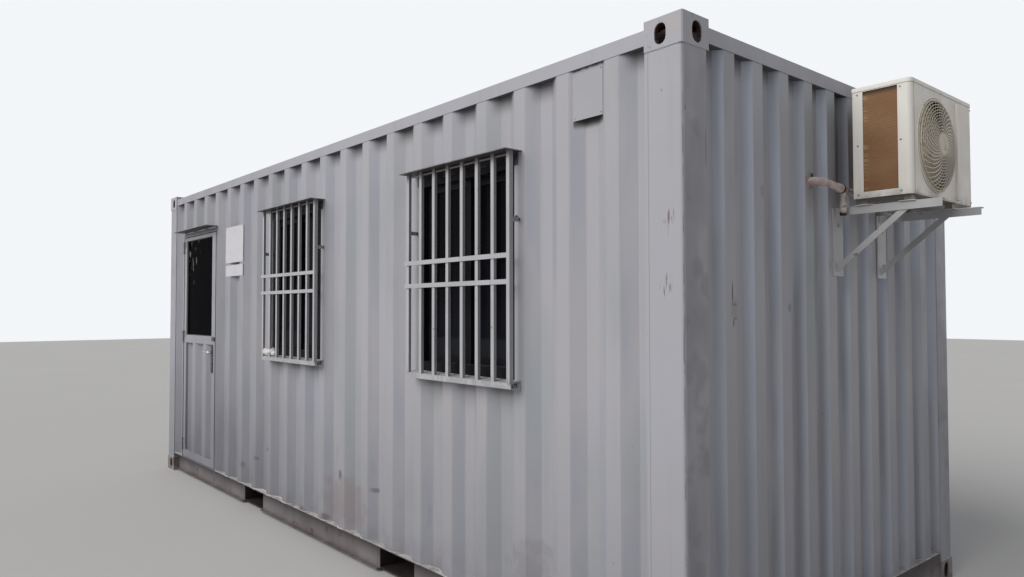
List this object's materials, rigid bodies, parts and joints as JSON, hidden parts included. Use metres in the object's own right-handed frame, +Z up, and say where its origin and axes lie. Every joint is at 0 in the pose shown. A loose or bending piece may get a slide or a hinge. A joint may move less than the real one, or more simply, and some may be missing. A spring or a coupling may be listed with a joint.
{
  "type": "shipping container cabin",
  "caption": "Short corrugated steel container made into a cabin, with a glazed door, barred windows, rain hoods and an outdoor cooling unit.",
  "frame": {"origin": "centre of the bounding box on the ground", "axes": "+X towards the end wall with the cooling unit, +Y towards the back wall, +Z up"},
  "size_m": [6.504, 2.532, 2.591],
  "materials": {
    "shell_paint": "weathered semi-matt paint",
    "base_paint": "dirty semi-matt paint",
    "casting_paint": "painted castings, rusty inside the slots",
    "floor_board": "varnished plywood",
    "lining_board": "smooth painted board",
    "door_paint": "weathered semi-matt paint",
    "window_alloy": "dark anodised",
    "dark_glass": "dark glass",
    "grille_paint": "semi-matt paint",
    "bright_steel": "polished",
    "lock_steel": "dark, worn",
    "hinge_steel": "painted over",
    "plate_paint": "white, gloss",
    "unit_paint": "ivory powder coat",
    "coil_fins": "coated fins, copper brown",
    "fan_plastic": "matt",
    "guard_plastic": "matt",
    "bracket_paint": "galvanised grey",
    "pipe_wrap": "wrapped tape"
  },
  "bodies": {
    "cabin": {"corner_castings": "casting_paint", "corner_posts": "shell_paint", "top_rails": "shell_paint", "base_side_rails": "base_paint", "base_end_rails": "base_paint", "fork_pockets": "base_paint", "cross_members": "base_paint", "floor_deck": "floor_board", "roof_sheet": "shell_paint", "ceiling_panel": "lining_board", "front_wall_left": "shell_paint", "front_wall_over_door": "shell_paint", "front_wall_middle_left": "shell_paint", "front_wall_at_left_window": "shell_paint", "front_wall_middle_right": "shell_paint", "front_wall_at_right_window": "shell_paint", "front_wall_right": "shell_paint", "back_wall": "shell_paint", "right_end_wall": "shell_paint", "left_end_wall": "shell_paint", "front_lining": "lining_board", "back_lining": "lining_board", "end_linings": "lining_board", "door_frame": "door_paint", "frame_hinges": "hinge_steel", "window_frames": "window_alloy", "window_glass": "dark_glass", "left_window_grille": "grille_paint", "right_window_grille": "grille_paint", "rain_hoods": "grille_paint", "window_sills": "grille_paint", "vent_cover": "shell_paint", "sign_plates": "plate_paint", "unit_casing": "unit_paint", "unit_coil": "coil_fins", "fan_guard": "guard_plastic", "unit_brackets": "bracket_paint", "unit_pipe": "pipe_wrap"},
    "door": {"door_leaf": "door_paint", "door_lower_panel": "door_paint", "door_glass": "dark_glass", "leaf_hinges": "hinge_steel", "door_lock": "lock_steel"},
    "lever": {"door_lever": "bright_steel"},
    "fan": {"unit_fan": "fan_plastic"}
  },
  "joints": [
    {"name": "door_hinge", "type": "hinge", "parent": "cabin", "child": "door", "pos_m": [-2.824, -1.174, 1.2], "axis": [0, 0, -1], "range_deg": [0, 110]},
    {"name": "lever_turn", "type": "hinge", "parent": "door", "child": "lever", "pos_m": [-2.071, -1.166, 1.15], "axis": [0, -1, 0], "range_deg": [0, 45]},
    {"name": "fan_spin", "type": "hinge", "parent": "cabin", "child": "fan", "pos_m": [3.091, 0.202, 2.228], "axis": [1, 0, 0], "continuous": true}
  ]
}
